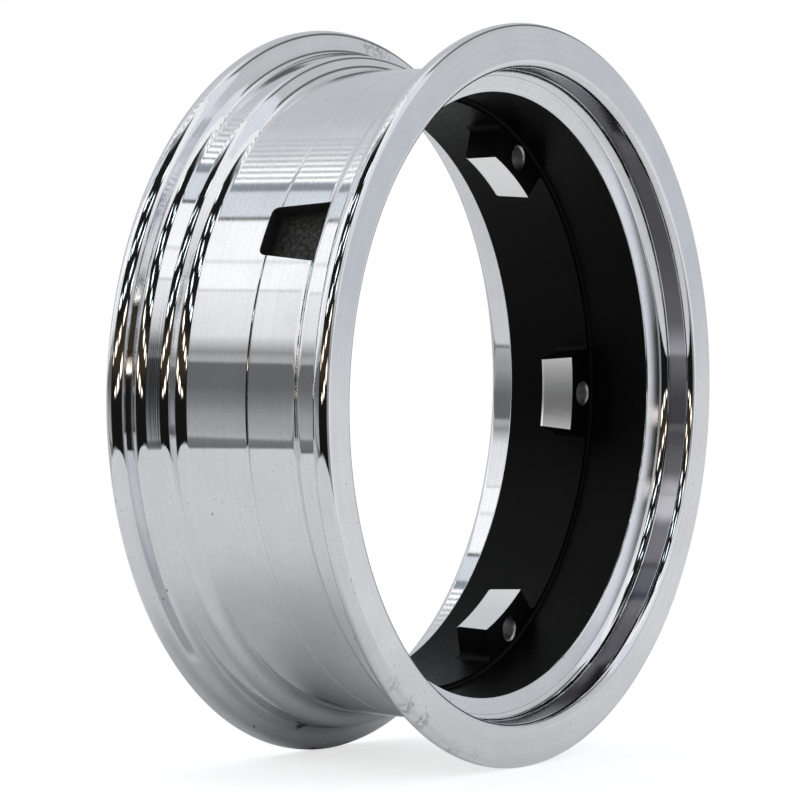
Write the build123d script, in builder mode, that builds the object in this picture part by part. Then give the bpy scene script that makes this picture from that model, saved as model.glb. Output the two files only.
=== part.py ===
"""Scooter wheel rim: one alloy casting, turned outside and at both ends, with six lugs cast inside.

Millimetres. The wheel turns about Y, its front face looks towards -Y, +Z is up, and the origin
is the middle of the wheel. The first lug lies on +X and angles run from +X towards +Z.
"""

import os
from math import atan2, cos, degrees, radians, sin, sqrt, tan

from build123d import *

# Flanges, which hold the sides of the tyre
flange_diameter = 178.0
overall_width = 61.5
lip_thickness = 4.3
flange_height = 5.8
flange_lean = 15.0
lip_outer_radius = 2.0
lip_inner_radius = 2.9

# Bead seats, where the tyre grips the rim, and the well between them
bead_seat_width = 6.7
bead_seat_taper = 5.0
bead_seat_fillet = 2.7
seat_edge_radius = 2.4
well_depth = 4.3
well_side_slope = 60.0
well_fillet = 3.0

# Turned recess in each end, inside the flat face, with a shelf that slopes in to the bore
end_face_width = 10.6
recess_depth = 8.5
recess_edge_radius = 2.0
recess_fillet = 2.6
shelf_slope = 18.0
shelf_edge_radius = 0.4

# Cast bore, wider in front of the lugs than behind them, with a sharp edge on the step between
front_shelf_width = 5.6
bore_step = 1.4
step_fillet = 0.8
sharp = 0.0

# Lugs, cast with the rim and then bored out to one circle
lug_count = 6
lug_face_offset = 3.6
lug_thickness = 9.2
lug_height = 8.1
lug_width = 18.6
lug_flare = 15.0
lug_draft = 4.6
lug_root_fillet = 1.6
bevel_length = 0.7
bevel_rise = 0.3

# Bolt holes through the lugs, close to the wall
bolt_hole_diameter = 5.5
bolt_hole_wall_gap = 0.15
bolt_hole_chamfer = 0.4

# Valve pocket, cast into the wall of the well on its front side
pocket_length = 17.0
pocket_front_width = 15.4
pocket_flare = 5.7
pocket_floor_thickness = 1.4
pocket_offset = 8.7
pocket_corner_radius = 1.4
pocket_angle = 152.0

# Radii and places worked out from the sizes above
flange_radius = flange_diameter / 2
seat_radius = flange_radius - flange_height
well_radius = seat_radius - well_depth
recess_radius = flange_radius - end_face_width
front_bore_radius = recess_radius - front_shelf_width
back_bore_radius = front_bore_radius - bore_step
lug_circle_radius = back_bore_radius - lug_height
bolt_circle_radius = back_bore_radius - bolt_hole_wall_gap - bolt_hole_diameter / 2
pocket_floor_radius = front_bore_radius + pocket_floor_thickness

end_face = overall_width / 2
lip_back = end_face - lip_thickness
seat_foot = lip_back - (flange_radius - seat_radius) * tan(radians(flange_lean))
seat_end = seat_foot - bead_seat_width
seat_end_radius = seat_radius - bead_seat_width * tan(radians(bead_seat_taper))
well_end = seat_end - (seat_end_radius - well_radius) / tan(radians(well_side_slope))
recess_bottom = end_face - recess_depth
front_shelf = recess_bottom - front_shelf_width * tan(radians(shelf_slope))
back_shelf = recess_bottom - (recess_radius - back_bore_radius) * tan(radians(shelf_slope))

# One side of the turned outside, from the end face down to the well: the radius of each corner,
# its distance from the middle plane and its rounding
turned_side = [
    (flange_radius, end_face, lip_outer_radius),
    (flange_radius, lip_back, lip_inner_radius),
    (seat_radius, seat_foot, bead_seat_fillet),
    (seat_end_radius, seat_end, seat_edge_radius),
    (well_radius, well_end, well_fillet),
]

# The inside, from the back end face to the front one, in the same terms
inside = [
    (recess_radius, end_face, recess_edge_radius),
    (recess_radius, recess_bottom, recess_fillet),
    (back_bore_radius, back_shelf, shelf_edge_radius),
    (back_bore_radius, -lug_face_offset, sharp),
    (front_bore_radius, -lug_face_offset, step_fillet),
    (front_bore_radius, -front_shelf, shelf_edge_radius),
    (recess_radius, -recess_bottom, recess_fillet),
    (recess_radius, -end_face, recess_edge_radius),
]

front_side = [(radius, -place, rounding) for radius, place, rounding in turned_side]
section = turned_side[::-1] + inside + front_side

# A lug's outline before boring: it reaches into the wall, and inwards far enough for the boring
# to clean its whole inner face in spite of the draft
bored_chord = sqrt(lug_circle_radius**2 - (lug_width / 2) ** 2)
lug_inner = bored_chord - lug_thickness * tan(radians(lug_draft))
lug_outer = (back_bore_radius + well_radius) / 2
lug_inner_half = lug_width / 2 - (bored_chord - lug_inner) * tan(radians(lug_flare))
lug_outer_half = lug_width / 2 + (lug_outer - bored_chord) * tan(radians(lug_flare))

# Rim: the section turned about the axle line, then the lugs, bolt holes and valve pocket
with BuildPart() as rim:
    with BuildSketch(Plane(origin=(0, 0, 0), x_dir=(0, 0, 1), z_dir=(-1, 0, 0))):
        with BuildLine():
            FilletPolyline(
                [(radius, place) for radius, place, rounding in section],
                radius=[rounding for radius, place, rounding in section],
                close=True,
            )
        make_face()
    revolve(axis=Axis.Y)

    # Lugs: blocks that grow out of the cast bore, widest at the root and at the front
    lug_plane = Plane(origin=(0, -lug_face_offset, 0), x_dir=(1, 0, 0), z_dir=(0, 1, 0))
    with BuildSketch(lug_plane):
        with PolarLocations(0, lug_count):
            Polygon(
                (lug_inner, -lug_inner_half),
                (lug_outer, -lug_outer_half),
                (lug_outer, lug_outer_half),
                (lug_inner, lug_inner_half),
                align=None,
            )
    extrude(amount=lug_thickness, taper=lug_draft)

    # Cast fillets at the root of each lug, along both flanks and across the back
    root_edges = [
        edge
        for edge in rim.edges(Select.LAST)
        if abs(Vector(edge.center().X, edge.center().Z).length - back_bore_radius) < lug_root_fillet
        and edge.bounding_box().max.Y > -lug_face_offset + lug_root_fillet
    ]
    fillet(root_edges, radius=lug_root_fillet)

    # Boring cuts every lug to one circle about the axle, with a bevel at the back
    with BuildSketch(lug_plane):
        Circle(lug_circle_radius)
    extrude(amount=lug_thickness, mode=Mode.SUBTRACT)
    with BuildSketch(lug_plane.offset(lug_thickness)):
        Circle(lug_circle_radius + bevel_rise)
    extrude(amount=-bevel_length, taper=degrees(atan2(bevel_rise, bevel_length)), mode=Mode.SUBTRACT)

    # Bolt holes run along the axle, out through the fillet behind, with a small chamfer in front
    with BuildSketch(lug_plane):
        with PolarLocations(bolt_circle_radius, lug_count):
            Circle(bolt_hole_diameter / 2)
    extrude(amount=lug_thickness + lug_root_fillet, mode=Mode.SUBTRACT)
    chamfer(rim.edges(Select.LAST).group_by(Axis.Y)[0], length=bolt_hole_chamfer)

    # Valve pocket: sunk square to the wall down to a flat floor, wider towards the front
    pocket_out = Vector(cos(radians(pocket_angle)), 0, sin(radians(pocket_angle)))
    pocket_floor = Plane(
        origin=pocket_out * pocket_floor_radius - Vector(0, pocket_offset, 0),
        x_dir=(0, 1, 0),
        z_dir=pocket_out,
    )
    with BuildSketch(pocket_floor):
        Trapezoid(pocket_front_width, pocket_length, 90 - pocket_flare, rotation=-90)
        fillet(vertices(), radius=pocket_corner_radius)
    extrude(amount=flange_radius - pocket_floor_radius, mode=Mode.SUBTRACT)

os.makedirs("parts", exist_ok=True)
rim.part.label = "rim"
export_step(rim.part, "parts/rim.step")
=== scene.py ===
import bpy
import numpy as np
from mathutils import Matrix, Vector


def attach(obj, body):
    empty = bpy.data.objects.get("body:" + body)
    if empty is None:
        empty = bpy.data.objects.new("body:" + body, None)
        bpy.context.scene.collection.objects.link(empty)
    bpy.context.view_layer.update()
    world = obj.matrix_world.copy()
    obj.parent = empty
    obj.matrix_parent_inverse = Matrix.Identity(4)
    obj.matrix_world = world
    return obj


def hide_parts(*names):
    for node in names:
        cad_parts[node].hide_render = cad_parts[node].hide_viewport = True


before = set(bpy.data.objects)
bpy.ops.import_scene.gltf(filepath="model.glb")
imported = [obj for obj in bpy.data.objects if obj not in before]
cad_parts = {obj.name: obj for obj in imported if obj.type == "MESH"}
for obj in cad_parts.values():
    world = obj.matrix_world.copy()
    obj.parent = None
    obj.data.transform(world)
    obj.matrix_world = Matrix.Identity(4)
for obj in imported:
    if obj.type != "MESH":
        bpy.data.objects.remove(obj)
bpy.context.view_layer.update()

# Rim, the turned outside. One aluminium casting, turned on a lathe over the flanges, bead seats and
# well and in the recess at each end, then polished with a mop so that its fillets shine most.
millimetre = 0.001
half_width = 30.75
flange = 89.0
well = 78.9
recess = 78.4
front_bore = 72.8
back_bore = 71.4
shelf_slope = np.radians(18.0)
recess_bottom = 22.25
front_shelf = recess_bottom - (recess - front_bore) * np.tan(shelf_slope)
back_shelf = recess_bottom - (recess - back_bore) * np.tan(shelf_slope)
bore_edge = 0.4

# One side from the bottom of the recess over the end face and the flange to the well: radius of each
# corner, distance from the middle plane, rounding
turned_side = np.array([
    (recess, recess_bottom, 2.6),
    (recess, half_width, 2.0),
    (flange, half_width, 2.0),
    (flange, 26.45, 2.9),
    (83.2, 24.9, 2.7),
    (82.61, 18.2, 2.4),
    (well, 16.05, 3.0),
])
to_front = np.array([1.0, -1.0, 1.0])
outside = np.vstack((
    [(front_bore, 0.0, 0.0), (front_bore, -front_shelf, bore_edge)],
    turned_side * to_front,
    turned_side[::-1],
    [(back_bore, back_shelf, bore_edge), (back_bore, 0.0, 0.0)],
))


def round_corners(corners, steps):
    """Arcs in the corners of an open line of (radius, place, rounding). Each arc starts where the
    incoming side is tangent to it and turns with the line. Gives points and outward normals."""
    sides = np.diff(corners[:, :2], axis=0)
    heading = np.arctan2(sides[:, 1], sides[:, 0])
    turn = (np.diff(heading) + np.pi) % (2 * np.pi) - np.pi
    rounding = corners[1:-1, 2]
    run_in = np.stack((np.cos(heading[:-1]), np.sin(heading[:-1])), axis=1)
    start = corners[1:-1, :2] - run_in * (rounding * np.tan(np.abs(turn) / 2))[:, None]
    bend = heading[:-1, None] + turn[:, None] * np.linspace(0, 1, steps)
    right = np.stack((np.sin(bend), -np.cos(bend)), axis=-1)
    reach = (np.sign(turn) * rounding)[:, None, None]
    points = start[:, None] + reach * (right - right[:, :1])
    return points.reshape(-1, 2), right.reshape(-1, 2)


arc_rows = 9
profile, profile_normals = round_corners(outside, arc_rows)

# A fine groove is left on the well where the two turning passes meet: the place of each row beside the
# groove's middle, its height over the well and the lean of its normal
groove_place = -2.4
groove_rows = np.array([
    (-0.2, 0.0, 0.0), (-0.14, -0.04, 0.3), (0.0, -0.07, 0.0),
    (0.12, -0.06, -0.2), (0.18, -0.04, -0.22), (0.4, 0.0, -0.1),
])
groove = np.stack((well + groove_rows[:, 1], groove_place + groove_rows[:, 0]), axis=1)
groove_normals = np.stack((np.cos(groove_rows[:, 2]), np.sin(groove_rows[:, 2])), axis=1)
plain_places = np.array([-12.0, -9.0, -6.0, -3.6, -1.6, -0.9, 1.2, 6.0, 10.0])
plain_rows = np.stack((np.full(len(plain_places), well), plain_places), axis=1)
plain_normals = np.tile((1.0, 0.0), (len(plain_places), 1))
well_rows = np.vstack((plain_rows, groove))
order = np.argsort(well_rows[:, 1])
well_normals = np.vstack((plain_normals, groove_normals))[order]
middle = len(profile) // 2
profile = np.vstack((profile[:middle], well_rows[order], profile[middle:]))
profile_normals = np.vstack((profile_normals[:middle], well_normals, profile_normals[middle:]))
steps_along = np.linalg.norm(np.diff(profile, axis=0), axis=1)
profile_along = np.concatenate(([0.0], np.cumsum(steps_along)))

# How each row is finished: fillets are mopped to a shine (1), flats keep their turning marks (0), the
# wall of the front recess stays rough and is painted dark as a painted reflection (-0.5), the sloping
# shelves satin (-1) and the groove is rougher and darkened with painted shade (-2). Each arc has its own
# rows, and the front recess wall lies between the second and third
shine = np.tile(np.concatenate(([0.0], np.ones(arc_rows - 2), [0.0])), len(outside) - 2)
shine[2 * arc_rows - 1:2 * arc_rows + 1] = -0.5
shine[:arc_rows + 1] = shine[-arc_rows - 1:] = -1.0
well_shine = np.concatenate((np.zeros(len(plain_places)), (0.0, -2.0, -2.0, -2.0, 0.0, 0.0)))[order]
profile_shine = np.concatenate((shine[:middle], well_shine, shine[middle:]))

# Angles round the wheel: lines are spread evenly between the lugs, and set closer about the pocket
lug_count = 6
lug_block = np.radians(10.9)
pocket_angle = np.radians(152.0)
pocket_block = np.radians(6.03)
block_lines = np.linspace(-lug_block, lug_block, 17)
pocket_lines = np.radians([-6.03, -4.61, -4.07, -3.34, -2.2, -1.1, 0.0, 1.1, 2.2, 3.34, 4.07, 4.61, 6.03])
between = np.linspace(lug_block, np.pi / 3 - lug_block, 37)[1:-1]
pocket_side = np.concatenate((
    np.linspace(2 * np.pi / 3 + lug_block, pocket_angle - pocket_block, 16)[1:-1],
    pocket_angle + pocket_lines,
    np.linspace(pocket_angle + pocket_block, np.pi - lug_block, 12)[1:-1],
))
sectors = [
    np.concatenate((block_lines, pocket_side - lug * np.pi / 3 if lug == 2 else between)) + lug * np.pi / 3
    for lug in range(lug_count)
]
angles = np.concatenate(sectors + [sectors[0][:1] + 2 * np.pi])

polished, painted, bared, rough_cast = 0, 1, 2, 3
surfaces = []


def carry_round(line, around):
    """A line of (radius, place) carried round the axle: x and z are the radius times the cosine and
    sine of each angle, y is the place."""
    radius, place = line[:, :1], line[:, 1:]
    return np.stack(np.broadcast_arrays(radius * np.cos(around), place, radius * np.sin(around)), axis=-1)


def lay(points, normals, finish, along=0.0, gloss=0.0, kept=None):
    """A grid of points as quads, each joining a point with its neighbours in the next row and column.
    A cell is turned over where it would face against the normals. kept marks the cells to use."""
    rows, columns = points.shape[:2]
    number = np.arange(rows * columns).reshape(rows, columns)
    cells = np.stack((number[:-1, :-1], number[:-1, 1:], number[1:, 1:], number[1:, :-1]), axis=-1)
    cells = cells.reshape(-1, 4) if kept is None else cells[kept]
    flat, facing = points.reshape(-1, 3), normals.reshape(-1, 3)
    across = np.cross(flat[cells[:, 2]] - flat[cells[:, 0]], flat[cells[:, 3]] - flat[cells[:, 1]])
    if np.sum(across * facing[cells].mean(axis=1)) < 0:
        cells = cells[:, ::-1]
    marks = np.stack(np.broadcast_arrays(along, gloss, points[..., 0])[:2], axis=-1).reshape(-1, 2)
    surfaces.append((flat, facing, marks, cells, finish))


turned = carry_round(profile, angles)
turned_normals = carry_round(profile_normals, angles)
pocket_rows = np.flatnonzero((profile[:, 1] > -17.6) & (profile[:, 1] < 1.3) & (profile[:, 0] > recess))
in_pocket = np.abs(angles - pocket_angle) < pocket_block + 1e-9
pocket_columns = np.flatnonzero(in_pocket)
turned_cells = np.ones((len(profile) - 1, len(angles) - 1), bool)
turned_cells[pocket_rows[0]:pocket_rows[-1], pocket_columns[0]:pocket_columns[-1]] = False
lay(turned, turned_normals, polished, profile_along[:, None], profile_shine[:, None], turned_cells)

# Rim, the valve pocket. A blind pocket cast into the front half of the well. The lathe cuts its mouth
# sharp, and its walls and floor keep the rough skin of the casting under the paint.
pocket_half = np.array([6.85, 8.5])
pocket_corner = 1.4
pocket_flare = np.tan(np.radians(5.7))
pocket_middle = -8.7
pocket_floor = 74.2
floor_fillet = 1.0


def edge_loop(grid):
    """The points round the border of a grid, once round, starting and ending at its first corner."""
    return np.concatenate((grid[0, :-1], grid[:-1, -1], grid[-1, :0:-1], grid[::-1, 0]))


def in_pocket_frame(points):
    """The points seen from the pocket: distance outwards from the axle, along the axle, sideways."""
    out = points[..., 0] * np.cos(pocket_angle) + points[..., 2] * np.sin(pocket_angle)
    side = points[..., 2] * np.cos(pocket_angle) - points[..., 0] * np.sin(pocket_angle)
    return np.stack((out, points[..., 1], side), axis=-1)


def from_pocket_frame(points):
    """The way back from the pocket's own directions to the wheel's."""
    out, place, side = points[..., 0], points[..., 1], points[..., 2]
    x = out * np.cos(pocket_angle) - side * np.sin(pocket_angle)
    z = out * np.sin(pocket_angle) + side * np.cos(pocket_angle)
    return np.stack((x, place, z), axis=-1)


border = edge_loop(turned[pocket_rows[0]:pocket_rows[-1] + 1, pocket_columns[0]:pocket_columns[-1] + 1])
border = in_pocket_frame(border)
flat_border = np.stack((border[:, 2], border[:, 1] - pocket_middle), axis=1)
clamped = np.clip(flat_border, -pocket_half, pocket_half)
core = np.clip(clamped, pocket_corner - pocket_half, pocket_half - pocket_corner)
mouth_normals = (clamped - core) / np.linalg.norm(clamped - core, axis=1, keepdims=True)
span_rows = slice(pocket_rows[0], pocket_rows[-1] + 1)


def mouth_ring(inset):
    """The pocket's rounded outline, moved in by the inset: its core plus what is left of the corner
    radius along the outline's normals, spread sideways in proportion to the distance to the front."""
    ring = core + mouth_normals * (pocket_corner - inset)
    spread = 1 - pocket_flare * ring[:, 1] / pocket_half[0]
    return np.stack((ring[:, 0] * spread, ring[:, 1]), axis=1)


def on_wall(flat):
    """Points of the turned wall over a flat place in the pocket's frame, and the wall's normals there.
    The radius is read off the profile at that distance along the axle."""
    place = flat[..., 1] + pocket_middle
    radius = np.interp(place, profile[span_rows, 1], profile[span_rows, 0])
    tilt = np.interp(place, profile[span_rows, 1], profile_normals[span_rows, 1])
    out = np.sqrt(radius**2 - flat[..., 0] ** 2)
    lean = np.sqrt(1 - tilt**2) / radius
    points = np.stack((out, place, flat[..., 0]), axis=-1)
    return points, np.stack((lean * out, tilt, lean * flat[..., 0]), axis=-1)


mouth_insets = np.array((-0.15, -0.04, 0.0))
mouth_drops = np.array((0.0, 0.05, 0.2))
mouth_edge = mouth_ring(mouth_insets[0])
mouth_flats = np.stack((0.5 * (flat_border + mouth_edge), mouth_edge))
collar, collar_normals = on_wall(mouth_flats)
collar = np.concatenate((border[None], collar))
collar_normals = np.concatenate((on_wall(flat_border)[1][None], collar_normals))
collar_along = np.interp(collar[..., 1], profile[span_rows, 1], profile_along[span_rows])
collar_shine = np.interp(collar[..., 1], profile[span_rows, 1], profile_shine[span_rows])
lay(from_pocket_frame(collar), from_pocket_frame(collar_normals), polished, collar_along, collar_shine)

fillet_turn = np.linspace(0, np.pi / 2, 6)
wall_insets = np.concatenate((mouth_insets, floor_fillet * (1 - np.cos(fillet_turn))))
floor_ring = mouth_ring(floor_fillet)
floor_shares = (0.85, 0.6, 0.25, 0.0)
wall_flats = np.stack(
    [mouth_ring(inset) for inset in wall_insets] + [floor_ring * share for share in floor_shares]
)
mouth_out = on_wall(wall_flats[:len(mouth_insets)])[0][..., 0] - mouth_drops[:, None]
floor_rise = floor_fillet * (1 - np.sin(fillet_turn))
floor_out = pocket_floor + np.concatenate((floor_rise, np.zeros(len(floor_shares))))
floor_out = np.broadcast_to(floor_out[:, None], (len(floor_out), len(core)))
wall_out = np.concatenate((mouth_out, floor_out))
pocket = np.stack((wall_out, wall_flats[..., 1] + pocket_middle, wall_flats[..., 0]), axis=-1)


def grid_normals(points, outward, closed=False):
    """Normals of a grid: the cross product of its slopes along rows and columns, turned to point the
    same way as outward. A closed grid's first and last columns are one."""
    wrapped = np.concatenate((points[:, -2:-1], points, points[:, 1:2]), axis=1) if closed else points
    normals = np.cross(np.gradient(wrapped, axis=0), np.gradient(wrapped, axis=1))
    normals = normals[:, 1:-1] if closed else normals
    normals /= np.maximum(np.linalg.norm(normals, axis=-1, keepdims=True), 1e-12)
    return normals * np.sign(np.sum(normals * outward) + 1e-12)


pocket_inward = np.stack((np.ones_like(wall_out), pocket_middle - pocket[..., 1], -pocket[..., 2]), axis=-1)
pocket_normals = grid_normals(pocket, pocket_inward, closed=True)
pocket_normals[-len(floor_shares):] = (1.0, 0.0, 0.0)
# Painted shade: the pocket's walls are darkened, fading out down the fillet and across the edge of the floor
wall_shade_rows = np.concatenate((np.ones(6), (0.8, 0.6, 0.4, 0.3, 0.15, 0.0, 0.0)))[:, None]
lay(from_pocket_frame(pocket), from_pocket_frame(pocket_normals), rough_cast, gloss=wall_shade_rows)

# Rim, the cast inside. The bore is as cast, with a step in front of the lugs that faces the front,
# and is sprayed with black satin paint before the ends are turned.
step_place = -3.6
step_fillet = 0.8
fillet_angles = np.linspace(0, np.pi / 2, 6)[1:]
edge_run = bore_edge * np.tan(np.pi / 4 - shelf_slope / 2)
front_rows = np.linspace(-front_shelf + edge_run, step_place - step_fillet, 8)
fillet_radii = front_bore - step_fillet * (1 - np.cos(fillet_angles))
fillet_places = step_place - step_fillet * (1 - np.sin(fillet_angles))
front_line = np.vstack((
    np.stack((np.full(len(front_rows), front_bore), front_rows), axis=1),
    np.stack((fillet_radii, fillet_places), axis=1),
))
front_normals = np.vstack((
    np.tile((-1.0, 0.0), (len(front_rows), 1)),
    np.stack((-np.cos(fillet_angles), -np.sin(fillet_angles)), axis=1),
))
lay(carry_round(front_line, angles), carry_round(front_normals, angles), painted)

between_lugs = np.ones(len(angles) - 1, bool)
starts = np.cumsum([0] + [len(sector) for sector in sectors[:-1]])
between_lugs[(starts[:, None] + np.arange(len(block_lines) - 1)).ravel()] = False
step_line = np.array([(front_bore - step_fillet, step_place), (back_bore, step_place)])
step_normals = np.tile((0.0, -1.0), (2, 1))
lay(carry_round(step_line, angles), carry_round(step_normals, angles), painted, kept=between_lugs[None])

lug_back, lug_root, bevel_length = 5.6, 1.6, 0.7
lug_rows = np.append(np.linspace(step_place, lug_back - bevel_length, 7), lug_back)
flank_rows = np.append(lug_rows, lug_back + np.array((1.1, 2.2)))
back_rows = np.concatenate((flank_rows, np.linspace(flank_rows[-1], back_shelf - edge_run, 8)[1:]))
back_line = np.stack((np.full(len(back_rows), back_bore), back_rows), axis=1)
back_cells = np.ones((len(back_rows) - 1, len(angles) - 1), bool)
back_cells[:len(flank_rows) - 1] = between_lugs
bore_normals = np.tile((-1.0, 0.0), (len(back_rows), 1))
lay(carry_round(back_line, angles), carry_round(bore_normals, angles), painted, kept=back_cells)

# Rim, the lugs. Six blocks cast into the bore, widest at the root, with draft towards the back and a
# fillet round the foot. Their inner faces are bored to one circle with a bevel behind, and a hole is
# drilled along each.
lug_face, lug_half = 63.3, 9.3
lug_flare, lug_draft = np.radians(15.0), np.radians(4.6)
bevel_rise = 0.3
chord = np.sqrt(lug_face**2 - lug_half**2)
hole_middle, hole_radius, hole_chamfer = 68.5, 2.75, 0.4


def flank_angle(radius, place):
    """Angle of a lug's flank at a radius and a place along the axle. The flank is a plane that leans
    out by the flare and comes in with the draft, so its angle is the flare plus an arcsine."""
    half = lug_half - (place - step_place) * np.tan(lug_draft) / np.cos(lug_flare)
    return lug_flare + np.arcsin((half - chord * np.tan(lug_flare)) * np.cos(lug_flare) / radius)


def foot_flare(radius):
    """How far the fillet at the foot of the lug stands out at a radius: a quarter circle."""
    left = np.clip(1 - (back_bore - radius) / lug_root, 0, 1)
    return lug_root * (1 - np.sqrt(1 - left**2))


def lug_point(radius, angle, place):
    """A point at a radius, an angle from the middle of the lug and a place along the axle."""
    return np.stack(np.broadcast_arrays(radius * np.cos(angle), place, radius * np.sin(angle)), axis=-1)


# A flank from its block on the bore up the fillet to the bored edge. Its last columns go half way
# round the corner at the back, where the fillet turns about the edge of the lug
foot_turn = np.linspace(0, np.pi / 2, 8)
heights = np.concatenate(([0.0], lug_root * (1 - np.cos(foot_turn)), [4.0, back_bore - lug_face]))
corner_turn = np.concatenate((np.zeros(8), np.radians((22.5, 45.0))))
edge_radius = np.where(np.arange(10) < 7, lug_face, lug_face + bevel_rise)
radii = np.broadcast_to((back_bore - heights)[:, None], (len(heights), 10)).copy()
radii[-1] = edge_radius
stand_off = foot_flare(radii)
straight_rows = np.append(lug_rows, (lug_back, lug_back))
flank_place = straight_rows + stand_off * np.sin(corner_turn)
flank_turn = flank_angle(radii, straight_rows) + stand_off * np.cos(corner_turn) / back_bore
flank_place[0], flank_turn[0] = flank_rows, lug_block
right_flank = lug_point(radii, flank_turn, flank_place)
left_flank = right_flank * (1.0, 1.0, -1.0)
right_normals = grid_normals(right_flank, np.array([0.0, 0.0, 1.0]))

across = np.linspace(-1, 1, 17)
face_turn = flank_turn[-1, :7, None] * across
face = lug_point(lug_face, face_turn, lug_rows[:7, None])
face_normals = lug_point(-1.0, face_turn, 0.0)
bevel_turn = flank_turn[-1, 6:8, None] * across
bevel = lug_point(edge_radius[6:8, None], bevel_turn, lug_rows[6:8, None])
bevel_normals = lug_point(-bevel_length, bevel_turn, bevel_rise)


def round_hole(border_line, radius, place):
    """A ring round the drilled hole with one point for each point of a border line, in line with it
    as seen from the middle of the hole."""
    away = border_line[:, (0, 2)] - (hole_middle, 0.0)
    away /= np.linalg.norm(away, axis=1, keepdims=True)
    ring = away * radius + (hole_middle, 0.0)
    return np.stack((ring[:, 0], np.broadcast_to(place, len(ring)), ring[:, 1]), axis=1), away


def holed(border_line, ring, shares):
    """A surface from a ring to the border line about it, in straight steps from one to the other."""
    return ring + np.asarray(shares)[:, None, None] * (border_line - ring)


foot_row = lug_point(front_bore - step_fillet, block_lines, step_place)
front_border = np.concatenate((
    face[0], right_flank[-2:1:-1, 0], foot_row[::-1], left_flank[2:-1, 0], face[0, :1],
))
front_ring, front_away = round_hole(front_border, hole_radius + hole_chamfer, step_place)
front = holed(front_border, front_ring, (0.0, 0.2, 0.5, 1.0))
front_corner = np.stack((right_flank[2, 0], right_flank[1, 0], foot_row[-1], right_flank[0, 0]))
front_corner = front_corner.reshape(2, 2, 3)

# The back of the lug, down its fillet to the bore, and the strip of bore behind it
back_turn = flank_turn[1, -1] * across
past_flank = np.maximum(np.abs(back_turn) - flank_turn[1, 7] + lug_root / back_bore, 0) * back_bore
back_foot = lug_point(back_bore, back_turn, lug_back + np.sqrt(lug_root**2 - past_flank**2))
back_border = np.concatenate((
    bevel[1], right_flank[-2:1:-1, -1], back_foot[::-1], left_flank[2:-1, -1], bevel[1, :1],
))
back_ring, back_away = round_hole(back_border, hole_radius, 0.0)
back = holed(back_border, back_ring, (0.0, 0.15, 0.4, 0.7, 1.0))
back_radius = np.linalg.norm(back[..., (0, 2)], axis=-1)
back[:-1, :, 1] = lug_back + foot_flare(back_radius[:-1])
steep = np.clip(1 - (back_bore - back_radius) / lug_root, 0, 1)
inwards = -steep / back_radius
back_normals = np.stack((inwards * back[..., 0], np.sqrt(1 - steep**2), inwards * back[..., 2]), axis=-1)
strip = np.stack((back_foot, lug_point(back_bore, block_lines, flank_rows[-1])))
strip_normals = strip * (-1.0, 0.0, -1.0)

drilled_ring = round_hole(front_border, hole_radius, step_place + hole_chamfer)[0]
hole = np.stack((front_ring, drilled_ring, drilled_ring, back[0]))
hole_inward = np.stack((front_away, front_away, front_away, back_away)) * -1.0
hole_lean = np.broadcast_to(np.array([-1.0, -1.0, 0.0, 0.0])[:, None], hole.shape[:2])
hole_normals = np.stack((hole_inward[..., 0], hole_lean, hole_inward[..., 1]), axis=-1)

forwards = np.array([0.0, -1.0, 0.0])
mirrored = np.array([1.0, 1.0, -1.0])
lug_surfaces = (
    (face, face_normals, bared),
    (bevel, bevel_normals, bared),
    (right_flank, right_normals, painted),
    (left_flank, right_normals * mirrored, painted),
    (front, np.broadcast_to(forwards, front.shape), painted),
    (front_corner, np.broadcast_to(forwards, front_corner.shape), painted),
    (front_corner * mirrored, np.broadcast_to(forwards, front_corner.shape), painted),
    (back, back_normals, painted),
    (strip, strip_normals, painted),
    (hole, hole_normals, bared),
)
for lug in range(lug_count):
    swing = lug * np.pi / 3
    turn_lug = np.array([
        (np.cos(swing), 0.0, np.sin(swing)),
        (0.0, 1.0, 0.0),
        (-np.sin(swing), 0.0, np.cos(swing)),
    ])
    for points, normals, finish in lug_surfaces:
        lay(points @ turn_lug, normals @ turn_lug, finish, gloss=-1.0 if points is hole else 0.0)

# Rim, its mesh. The surfaces are joined where their edges meet, so the casting is one closed skin,
# and each corner of a face keeps the exact normal of the surface that it came from.
first_point = np.cumsum([0] + [len(surface[0]) for surface in surfaces[:-1]])
all_points = np.concatenate([surface[0] for surface in surfaces])
all_normals = np.concatenate([surface[1] for surface in surfaces])
all_marks = np.concatenate([surface[2] for surface in surfaces])
all_cells = np.concatenate([surface[3] + first for surface, first in zip(surfaces, first_point)])
all_finishes = np.concatenate([np.full(len(surface[3]), surface[4]) for surface in surfaces])
used = np.unique(all_cells)
rounded = np.round(all_points[used], 4)
_, first_use, joined = np.unique(rounded, axis=0, return_index=True, return_inverse=True)
kept_points = used[first_use]
new_number = np.zeros(len(all_points), int)
new_number[used] = joined.ravel()
joined_cells = new_number[all_cells]
repeats = joined_cells == np.roll(joined_cells, -1, axis=1)
whole = repeats.sum(axis=1) == 0
pointed = repeats.sum(axis=1) == 1
three = np.flatnonzero(~repeats[pointed].ravel()).reshape(-1, 3)
pointed_cells = joined_cells[pointed].ravel()[three]
pointed_corners = all_cells[pointed].ravel()[three]
faces = joined_cells[whole].tolist() + pointed_cells.tolist()
face_corners = np.concatenate((all_cells[whole].ravel(), pointed_corners.ravel()))
rim_mesh = bpy.data.meshes.new("rim")
rim_mesh.from_pydata((all_points[kept_points] * millimetre).tolist(), [], faces)
rim_mesh.polygons.foreach_set("use_smooth", np.ones(len(faces), bool))
face_finishes = np.concatenate((all_finishes[whole], all_finishes[pointed]))
rim_mesh.polygons.foreach_set("material_index", face_finishes.astype(np.int32))
corner_normals = all_normals[face_corners]
corner_normals /= np.maximum(np.linalg.norm(corner_normals, axis=1, keepdims=True), 1e-12)
for name, column in (("along", 0), ("shine", 1)):
    mark = rim_mesh.attributes.new(name, "FLOAT", "CORNER")
    mark.data.foreach_set("value", all_marks[face_corners, column].astype(np.float32))
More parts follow.
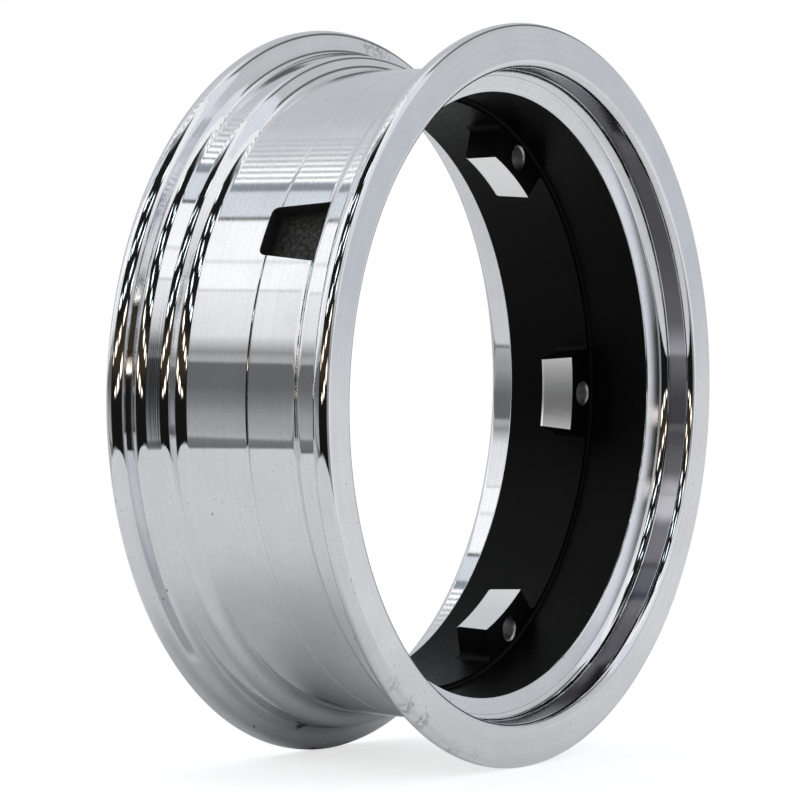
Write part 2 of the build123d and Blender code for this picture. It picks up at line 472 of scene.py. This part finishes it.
rim_mesh.normals_split_custom_set(corner_normals.tolist())
rim = bpy.data.objects.new("rim_casting", rim_mesh)
bpy.context.scene.collection.objects.link(rim)
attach(rim, "root")
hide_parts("rim")


# Rim, its finishes. Turned and mopped alloy outside, black satin paint over the cast skin inside, and
# bare bored alloy on the lug faces and in the holes.
def add(tree, kind, values=None, **settings):
    """A node of a kind, with its settings, and values for its inputs by name or number. A value that
    is another node's output is wired in."""
    made = tree.nodes.new("ShaderNode" + kind)
    for name, value in settings.items():
        setattr(made, name, value)
    for name, value in (values or {}).items():
        if isinstance(value, bpy.types.NodeSocket):
            tree.links.new(value, made.inputs[name])
        else:
            made.inputs[name].default_value = value
    return made


def new_finish(name):
    """A material with nodes, its tree, and its one surface shader."""
    finish = bpy.data.materials.new(name)
    finish.use_nodes = True
    tree = finish.node_tree
    return finish, tree, next(made for made in tree.nodes if made.type == "BSDF_PRINCIPLED")


def math(tree, operation, *values):
    """The result of a sum on numbers or wires."""
    return add(tree, "Math", dict(enumerate(values)), operation=operation).outputs[0]


def product(tree, first, *others):
    """Several numbers or wires multiplied together."""
    for other in others:
        first = math(tree, "MULTIPLY", first, other)
    return first


def most(tree, first, *others):
    """The largest of several numbers or wires."""
    for other in others:
        first = math(tree, "MAXIMUM", first, other)
    return first


def fade(tree, value, low, high, start=0.0, end=1.0):
    """A smooth change from start to end while the value goes from low to high."""
    values = {0: value, 1: low, 2: high, 3: start, 4: end}
    return add(tree, "MapRange", values, interpolation_type="SMOOTHSTEP").outputs[0]


def within(tree, value, low, high, soft):
    """A share that is one while the value is between low and high and fades out beside them."""
    onset = fade(tree, value, low - soft, low + soft)
    return math(tree, "MULTIPLY", onset, fade(tree, value, high - soft, high + soft, 1.0, 0.0))


def blend_in(tree, below, above, share):
    """One shade over another, by its share."""
    return add(tree, "Mix", {0: share, 6: below, 7: above}, data_type="RGBA").outputs[2]


def noise(tree, place, scale, detail, roughness=0.5):
    """A cloudy pattern from nought to one, read at a place."""
    values = {"Vector": place, "Scale": scale, "Detail": detail, "Roughness": roughness}
    return add(tree, "TexNoise", values).outputs["Fac"]


def carried(tree, name):
    """A value that the mesh carries at its corners, by its name."""
    return add(tree, "Attribute", attribute_name=name).outputs["Fac"]


def spot(tree, place, centre, radius):
    """A share that is one at a place on the object, in millimetres, and fades out at a radius about it."""
    centre = tuple(value * millimetre for value in centre)
    away = add(tree, "VectorMath", {0: place, 1: centre}, operation="DISTANCE").outputs["Value"]
    return fade(tree, away, radius * 0.4 * millimetre, radius * millimetre, 1.0, 0.0)


def roughen(tree, shader, height, strength, distance=0.0002):
    """Fine relief on a surface, from a height."""
    bump = add(tree, "Bump", {"Strength": strength, "Distance": distance, "Height": height})
    tree.links.new(bump.outputs[0], shader.inputs["Normal"])


# Turned alloy: turning marks run round the wheel, so the pattern is stretched that way. The tool and the
# mop leave it smooth round the wheel and rougher along the axle
alloy, tree, shader = new_finish("turned_alloy")
place = add(tree, "TexCoord").outputs["Object"]
apart = add(tree, "SeparateXYZ", {0: place}).outputs
height = apart[2]
gloss = carried(tree, "shine")
round_x = math(tree, "MULTIPLY", apart[0], 6.0)
round_z = math(tree, "MULTIPLY", height, 6.0)
lathe = add(tree, "CombineXYZ", {0: round_x, 1: carried(tree, "along"), 2: round_z}).outputs[0]
marks = noise(tree, lathe, 3.2, 2.0, 0.6)
cloud = noise(tree, place, 70.0, 6.0, 0.65)
specks = noise(tree, place, 900.0, 1.0)
mottle = noise(tree, place, 1600.0, 2.0)
# Rows of the front recess wall: a little rougher, and painted dark as a painted reflection
dull_wall_painted_dark = within(tree, gloss, -0.7, -0.3, 0.15)
groove_floor = fade(tree, gloss, -2.0, -1.2, 1.0, 0.0)
satin = fade(tree, gloss, -1.0, 0.0, 0.08, 0.0)
polish = math(tree, "ADD", fade(tree, gloss, 0.0, 1.0, 0.038, 0.05), satin)
polish = math(tree, "MULTIPLY_ADD", groove_floor, 0.2, polish)
polish = math(tree, "MULTIPLY_ADD", dull_wall_painted_dark, 0.03, polish)
polish = math(tree, "MULTIPLY_ADD", cloud, 0.012, polish)
tree.links.new(polish, shader.inputs["Roughness"])
shade = math(tree, "ADD", fade(tree, marks, 0.3, 0.7, 0.0, 0.35), fade(tree, cloud, 0.35, 0.65, 0.0, 0.3))
shade = math(tree, "ADD", shade, fade(tree, mottle, 0.3, 0.7, 0.0, 0.35))
bright = blend_in(tree, (0.77, 0.78, 0.81, 1.0), (0.91, 0.92, 0.94, 1.0), shade)

# Painted reflection: the rough wall of the front recess is painted dark, with painted bright patches in
# two places on the right. Wear: two nicks on the back flange at the bottom, a rubbed patch on it at the
# top, a rubbed line along the front edge and dark specks on the lower half. Painted shade darkens the
# groove beside and below the pocket
# Painted reflection: bright patches at two places on the recess wall
painted_bright_patches = most(tree, spot(tree, place, (78.4, -26.8, 3.0), 17.0), spot(tree, place, (73.6, -26.8, -26.9), 8.0))
# Painted reflection: the recess wall is painted dark, and lighter in the painted bright patches
painted_wall_reflection = blend_in(tree, (0.17, 0.165, 0.185, 1.0), (0.5, 0.49, 0.53, 1.0), painted_bright_patches)
bright = blend_in(tree, bright, painted_wall_reflection, dull_wall_painted_dark)
nicks = most(tree, spot(tree, place, (-17.0, 24.0, -81.4), 2.2), spot(tree, place, (-7.0, 28.0, -88.7), 2.0))
rubbed = spot(tree, place, (12.7, 26.0, 85.1), 9.0)
front_edge = 88.0
for turn in np.radians((-132, -127, -122, -117, -112, -107)):
    on_edge = (front_edge * np.cos(turn), -30.2, front_edge * np.sin(turn))
    rubbed = math(tree, "ADD", rubbed, spot(tree, place, on_edge, 3.4))
rubbed = product(tree, rubbed, fade(tree, specks, 0.4, 0.65), fade(tree, cloud, 0.35, 0.6), 0.7)
low_down = fade(tree, height, -0.02, 0.0, 1.0, 0.0)
worn = product(tree, fade(tree, specks, 0.72, 0.77), fade(tree, cloud, 0.52, 0.6), low_down)
# Painted shade: the groove is darkened over this band of heights
painted_groove_shade = math(tree, "MULTIPLY", groove_floor, within(tree, height, -0.012, 0.04, 0.012))
# Nicks, rubbed wear and dark specks take one dark colour, and so does the painted groove shade
dirt_and_groove_shade = most(tree, nicks, math(tree, "MULTIPLY", most(tree, rubbed, worn, painted_groove_shade), 0.75))
tree.links.new(blend_in(tree, bright, (0.1, 0.095, 0.09, 1.0), dirt_and_groove_shade), shader.inputs["Base Color"])
shader.inputs["Metallic"].default_value = 1.0
shader.inputs["Anisotropic"].default_value = 1.0
shader.inputs["Anisotropic Rotation"].default_value = 0.25
tree.links.new(add(tree, "Tangent", direction_type="RADIAL", axis="Y").outputs[0], shader.inputs["Tangent"])
roughen(tree, shader, marks, 0.03)
rim_mesh.materials.append(alloy)

paint, tree, shader = new_finish("black_paint")
place = add(tree, "TexCoord").outputs["Object"]
skin = noise(tree, place, 900.0, 3.0)
black = blend_in(tree, (0.0012, 0.0012, 0.0014, 1.0), (0.003, 0.003, 0.0034, 1.0), skin)
tree.links.new(black, shader.inputs["Base Color"])
shader.inputs["Specular IOR Level"].default_value = 0.1
tree.links.new(fade(tree, skin, 0.3, 0.7, 0.4, 0.5), shader.inputs["Roughness"])
roughen(tree, shader, skin, 0.2)
rim_mesh.materials.append(paint)

# Bored alloy: fine marks round the lug faces, and a drilled hole that is rougher and darkened with painted
# shade
bare, tree, shader = new_finish("bored_alloy")
place = add(tree, "TexCoord").outputs["Object"]
apart = add(tree, "SeparateXYZ", {0: place}).outputs
feed = math(tree, "MULTIPLY", apart[1], 60.0)
bored = add(tree, "CombineXYZ", {0: apart[0], 1: feed, 2: apart[2]}).outputs[0]
marks = noise(tree, bored, 60.0, 3.0)
# The drilled hole: rougher, and painted shade darkens it inside
hole_rough_and_shaded = math(tree, "MULTIPLY", carried(tree, "shine"), -1.0)
bright = blend_in(tree, (0.95, 0.94, 0.94, 1.0), (1.0, 0.99, 0.98, 1.0), marks)
tree.links.new(blend_in(tree, bright, (0.5, 0.5, 0.51, 1.0), hole_rough_and_shaded), shader.inputs["Base Color"])
shader.inputs["Metallic"].default_value = 1.0
bored_polish = math(tree, "MULTIPLY_ADD", hole_rough_and_shaded, 0.2, fade(tree, marks, 0.3, 0.7, 0.16, 0.22))
tree.links.new(bored_polish, shader.inputs["Roughness"])
roughen(tree, shader, marks, 0.012)
rim_mesh.materials.append(bare)

# Cast skin in the pocket: coarse grains on the floor, and painted shade that darkens the walls and fades out
# down the fillet and across the edge of the floor
cast, tree, shader = new_finish("painted_cast_skin")
place = add(tree, "TexCoord").outputs["Object"]
skin = noise(tree, place, 1100.0, 3.0, 0.65)
grains = fade(tree, skin, 0.35, 0.75)
bare_skin = blend_in(tree, (0.018, 0.017, 0.017, 1.0), (0.22, 0.215, 0.21, 1.0), grains)
# Painted shade on the pocket walls, carried in the shine attribute
painted_wall_shade = carried(tree, "shine")
tree.links.new(blend_in(tree, bare_skin, (0.02, 0.02, 0.02, 1.0), painted_wall_shade), shader.inputs["Base Color"])
tree.links.new(fade(tree, skin, 0.3, 0.7, 0.45, 0.6), shader.inputs["Roughness"])
roughen(tree, shader, skin, 1.0, 0.0008)
rim_mesh.materials.append(cast)

# Floor, a round pale table that the wheel stands on. It is white to the eye and keeps a soft shadow, and
# in the polished metal it carries a painted shadow near and behind the wheel.
table_radius = 0.328
table_sides = 128
table_angles = np.linspace(0, 2 * np.pi, table_sides + 1)[:-1]
table_height = np.full(table_sides, -flange * millimetre)
table_rim = np.stack((np.cos(table_angles), np.sin(table_angles)), axis=1) * table_radius
table_rim = np.column_stack((table_rim, table_height))
floor_mesh = bpy.data.meshes.new("floor")
floor_mesh.from_pydata(table_rim.tolist(), [], [tuple(range(table_sides))])
floor = bpy.data.objects.new("floor", floor_mesh)
bpy.context.scene.collection.objects.link(floor)
table, tree, shader = new_finish("pale_table")
place = add(tree, "TexCoord").outputs["Object"]
rays = add(tree, "LightPath").outputs
from_middle = add(tree, "VectorMath", {0: place}, operation="LENGTH").outputs["Value"]
behind = fade(tree, add(tree, "SeparateXYZ", {0: place}).outputs[1], -0.02, 0.03)
# Painted shadow: in reflections only, the table is darkened near and behind the wheel
shaded = product(tree, fade(tree, from_middle, 0.05, 0.115, 0.7, 0.0), behind, rays["Is Glossy Ray"])
table_shade = blend_in(tree, (0.85, 0.85, 0.85, 1.0), (0.0, 0.0, 0.0, 1.0), shaded)
tree.links.new(table_shade, shader.inputs["Base Color"])
shader.inputs["Roughness"].default_value = 1.0
shader.inputs["Specular IOR Level"].default_value = 0.0
shader.inputs["Emission Color"].default_value = (1.0, 1.0, 1.0, 1.0)
# The glow the table has in reflections is held back near and behind the wheel, as part of the same painted
# shadow
painted_shadow_behind = math(tree, "MULTIPLY", behind, fade(tree, from_middle, 0.1, 0.15, 1.0, 0.0))
lift = math(tree, "MULTIPLY", rays["Is Glossy Ray"], math(tree, "MULTIPLY_ADD", painted_shadow_behind, -0.18, 0.18))
lift = math(tree, "MULTIPLY_ADD", rays["Is Camera Ray"], 0.62, lift)
tree.links.new(lift, shader.inputs["Emission Strength"])
floor_mesh.materials.append(table)

# Studio light. A pale cloth hangs to the right, a banded wall with a louvre window stands behind, bright
# cloths hang in front, a dark beam crosses overhead, and the side where the camera stands is a dark room
# with small lamps in it. side is the bearing from -X towards -Y, rise the height above the horizon and
# tilt the angle about the axle from two degrees under -X upwards, all in degrees.
world = bpy.data.worlds.new("studio")
world.use_nodes = True
bpy.context.scene.world = world
tree = world.node_tree
sky = tree.nodes["Background"]
to_degrees = 57.2958
heading = add(tree, "TexCoord").outputs["Generated"]
look = add(tree, "SeparateXYZ", {0: heading}).outputs
leftward = math(tree, "MULTIPLY", look[0], -1.0)
forward = math(tree, "MULTIPLY", look[1], -1.0)
side = math(tree, "MULTIPLY", math(tree, "ARCTAN2", forward, leftward), to_degrees)
tilt = math(tree, "MULTIPLY_ADD", math(tree, "ARCTAN2", look[2], leftward), to_degrees, 2.0)
rise = math(tree, "MULTIPLY", math(tree, "ARCSINE", look[2]), to_degrees)


def shades(tree, angle, stops):
    """A shade read off stops of (angle, level, blue), in straight lines from one to the next. The blue
    is a share of the level."""
    first, last = stops[0][0], stops[-1][0]
    ramp = add(tree, "ValToRGB", {0: add(tree, "MapRange", {0: angle, 1: first, 2: last}).outputs[0]})
    bar = ramp.color_ramp.elements
    while len(bar) < len(stops):
        bar.new(1.0)
    for stop, (height, level, blue) in zip(bar, stops):
        stop.position = (height - first) / (last - first)
        stop.color = (level, level * (1 + blue) / 2, level * blue, 1.0)
    return ramp.outputs[0]


right_cloth = shades(tree, rise, [
    (-20, 0.66, 1.02), (-12, 0.72, 1.02), (-1, 0.7, 1.02), (1, 0.58, 1.09),
    (20, 0.58, 1.05), (60, 0.55, 1.0), (75, 0.9, 1.0), (90, 1.0, 1.0),
])
wall_joint = 42
lower_wall = shades(tree, tilt, [
    (-22, 0.5, 1.03), (-20.5, 0.5, 1.03), (-20.2, 0.14, 1.0), (-15.2, 0.2, 1.0), (-14.3, 0.46, 1.0),
    (-12.3, 0.4, 1.02), (-7, 0.34, 1.03), (-2, 0.22, 1.04), (3, 0.15, 1.05), (11.4, 0.15, 1.05),
    (12.2, 0.46, 1.0), (14.2, 0.4, 1.0), (15.2, 0.3, 1.0), (21.3, 0.85, 1.0),
    (36.8, 0.95, 1.0), (37.5, 0.6, 1.0), (38, 1.1, 1.0), (wall_joint, 1.1, 1.0),
])
upper_wall = shades(tree, tilt, [
    (wall_joint, 1.1, 1.0), (47, 1.1, 1.0), (48, 0.8, 1.0), (49.2, 1.1, 1.0), (64.2, 1.1, 1.0),
    (64.6, 0.1, 1.1), (65.6, 0.1, 1.1), (66, 0.75, 1.12), (76.6, 0.72, 1.1),
    (77, 0.25, 1.25), (80.6, 0.32, 1.25), (81.2, 1.5, 1.0), (87, 1.3, 1.0), (94, 0.85, 1.04),
    (102, 0.68, 1.05), (112, 0.58, 1.08), (120, 0.56, 1.08),
])
back_wall = blend_in(tree, lower_wall, upper_wall, math(tree, "GREATER_THAN", tilt, wall_joint))
dark_room = shades(tree, rise, [
    (-20, 0.45, 1.0), (-17, 0.4, 1.0), (-16.5, 0.008, 1.0), (70, 0.012, 1.0),
    (76, 0.4, 1.0), (80, 0.9, 1.0), (90, 1.0, 1.0),
])
bright_cloth = shades(tree, rise, [
    (-20, 0.4, 1.0), (-17, 0.25, 1.0), (5, 0.3, 1.0), (15, 0.6, 1.0), (30, 0.95, 1.0), (90, 1.0, 1.0),
])
louvre = math(tree, "PINGPONG", math(tree, "SUBTRACT", tilt, 82.8), 1.35)
slats = product(
    tree,
    fade(tree, louvre, 0.34, 0.54, 1.0, 0.0),
    within(tree, tilt, 81.8, 103.0, 0.2),
    fade(tree, tilt, 84.0, 106.0, 1.0, 0.15),
)
back_wall = blend_in(tree, back_wall, (0.03, 0.03, 0.04, 1.0), slats)
room = blend_in(tree, right_cloth, back_wall, within(tree, side, -160, -20, 1.0))
beam_pole = (-0.342, 0.823, 0.448)
off_beam = add(tree, "VectorMath", {0: heading, 1: beam_pole}, operation="DOT_PRODUCT").outputs["Value"]
beam = product(
    tree,
    fade(tree, math(tree, "ABSOLUTE", off_beam), 0.06, 0.16, 0.85, 0.0),
    fade(tree, look[0], -0.15, 0.1),
    fade(tree, rise, 12.0, 20.0),
)
room = blend_in(tree, room, (0.06, 0.06, 0.07, 1.0), beam)
room = blend_in(tree, room, bright_cloth, within(tree, side, 76, 106, 1.0))
room = blend_in(tree, room, (0.8, 0.82, 0.86, 1.0), within(tree, side, 106, 128, 2.0))
room = blend_in(tree, room, dark_room, within(tree, side, -28, 77, 1.0))

# Rows of ceiling lamps in the dark room, climbing a little from left to right, with a warm glow low down
row_height = math(tree, "MULTIPLY_ADD", side, -0.135, math(tree, "SUBTRACT", rise, 10.5))
row = math(tree, "PINGPONG", row_height, 7.3)
lamp = math(tree, "PINGPONG", math(tree, "MULTIPLY_ADD", rise, 0.9, side), 13.0)
lit = product(
    tree,
    fade(tree, row, 1.7, 2.3, 1.0, 0.0),
    fade(tree, lamp, 5.0, 6.5),
    within(tree, side, -18, 74, 1.0),
    within(tree, rise, -2.0, 56.0, 1.0),
)
glow = product(tree, within(tree, side, -20, 76, 2.0), within(tree, rise, 3.0, 17.0, 4.0), 0.8)
room = blend_in(tree, room, (0.05, 0.038, 0.024, 1.0), glow)
lamp_shade = blend_in(tree, (2.6, 2.3, 1.9, 1.0), (2.2, 2.5, 2.6, 1.0), fade(tree, rise, 16.0, 26.0))
room = blend_in(tree, room, lamp_shade, lit)
rays = add(tree, "LightPath").outputs
seen = blend_in(tree, room, (1.0, 1.0, 1.0, 1.0), rays["Is Camera Ray"])
tree.links.new(seen, sky.inputs["Color"])

# Camera, left of the axle line and a little above the middle of the wheel, as in the photograph. It is
# turned two degrees about the axle, because the lugs are.
view_side, view_rise, view_distance = np.radians(57.22), np.radians(2.415), 0.8595
wheel_turn = np.radians(2.0)
about_axle = Matrix.Rotation(-wheel_turn, 3, "Y")
level = np.cos(view_rise)
position = Vector((-np.sin(view_side) * level, -np.cos(view_side) * level, np.sin(view_rise)))
position = about_axle @ (position * view_distance)
backward = position.normalized()
upward = about_axle @ Vector((0.0, 0.0, 1.0))
rightward = upward.cross(backward).normalized()
upward = backward.cross(rightward)
camera_data = bpy.data.cameras.new("camera")
camera_data.lens = 158.5
camera_data.sensor_width = 36.0
camera_data.shift_x = -0.0352
camera_data.shift_y = -0.0084
camera_data.clip_start = 0.01
camera = bpy.data.objects.new("camera", camera_data)
turn_camera = Matrix((rightward, upward, backward)).transposed().to_4x4()
camera.matrix_world = Matrix.Translation(position) @ turn_camera
bpy.context.scene.collection.objects.link(camera)
bpy.context.scene.camera = camera
bpy.context.scene.view_settings.view_transform = "Standard"
